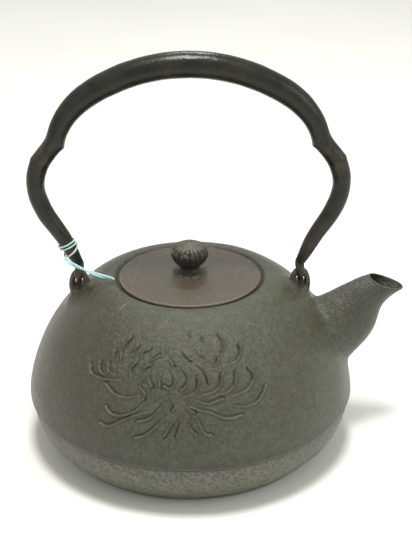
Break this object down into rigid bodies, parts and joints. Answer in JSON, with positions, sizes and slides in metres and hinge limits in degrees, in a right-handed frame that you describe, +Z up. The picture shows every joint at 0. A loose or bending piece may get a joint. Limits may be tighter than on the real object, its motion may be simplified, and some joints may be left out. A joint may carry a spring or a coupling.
{
  "type": "kettle",
  "caption": "Round cast iron kettle with a short beaked spout, a flat loose lid with a bud-shaped knob, and a tall arched bail handle hooked through ears on its shoulder",
  "frame": {"origin": "on the axis of the round body, at the flat base", "axes": "+Z up along the lid's lift, +X towards the spout, and the handle stands in the XZ plane"},
  "size_m": [0.2077, 0.181, 0.2197],
  "materials": {
    "casting": "sand cast, dark olive grey with brown patches",
    "lid_iron": "sand cast, dark brown grey",
    "knob_iron": "smooth casting, near black",
    "handle_iron": "forged sheet iron, lacquered dark",
    "hidden_iron": "plain iron washer",
    "blue_string": "twisted light blue string",
    "white_thread": "white thread"
  },
  "bodies": {
    "kettle": {"kettle_body": "casting", "spout": "casting", "tag_string": "blue_string"},
    "lid": {"lid": "lid_iron", "knob_rosette": "lid_iron", "knob_washer": "hidden_iron"},
    "knob": {"lid_knob": "knob_iron"},
    "handle": {"handle_tube": "handle_iron", "hook_left": "handle_iron", "hook_right": "handle_iron", "string_winding": "blue_string", "thread_loop": "white_thread"}
  },
  "joints": [
    {"name": "handle_swing", "type": "hinge", "parent": "kettle", "child": "handle", "pos_m": [0, 0, 0.09763], "axis": [1, 0, 0], "range_deg": [-115, 95], "deforming": ["tag_string"]},
    {"name": "lid_lift", "type": "slide", "parent": "kettle", "child": "lid", "axis": [0, 0, 1], "range_m": [0, 0.07]},
    {"name": "knob_turn", "type": "hinge", "parent": "lid", "child": "knob", "pos_m": [0, 0, 0.1], "axis": [0, 0, 1], "continuous": true}
  ]
}
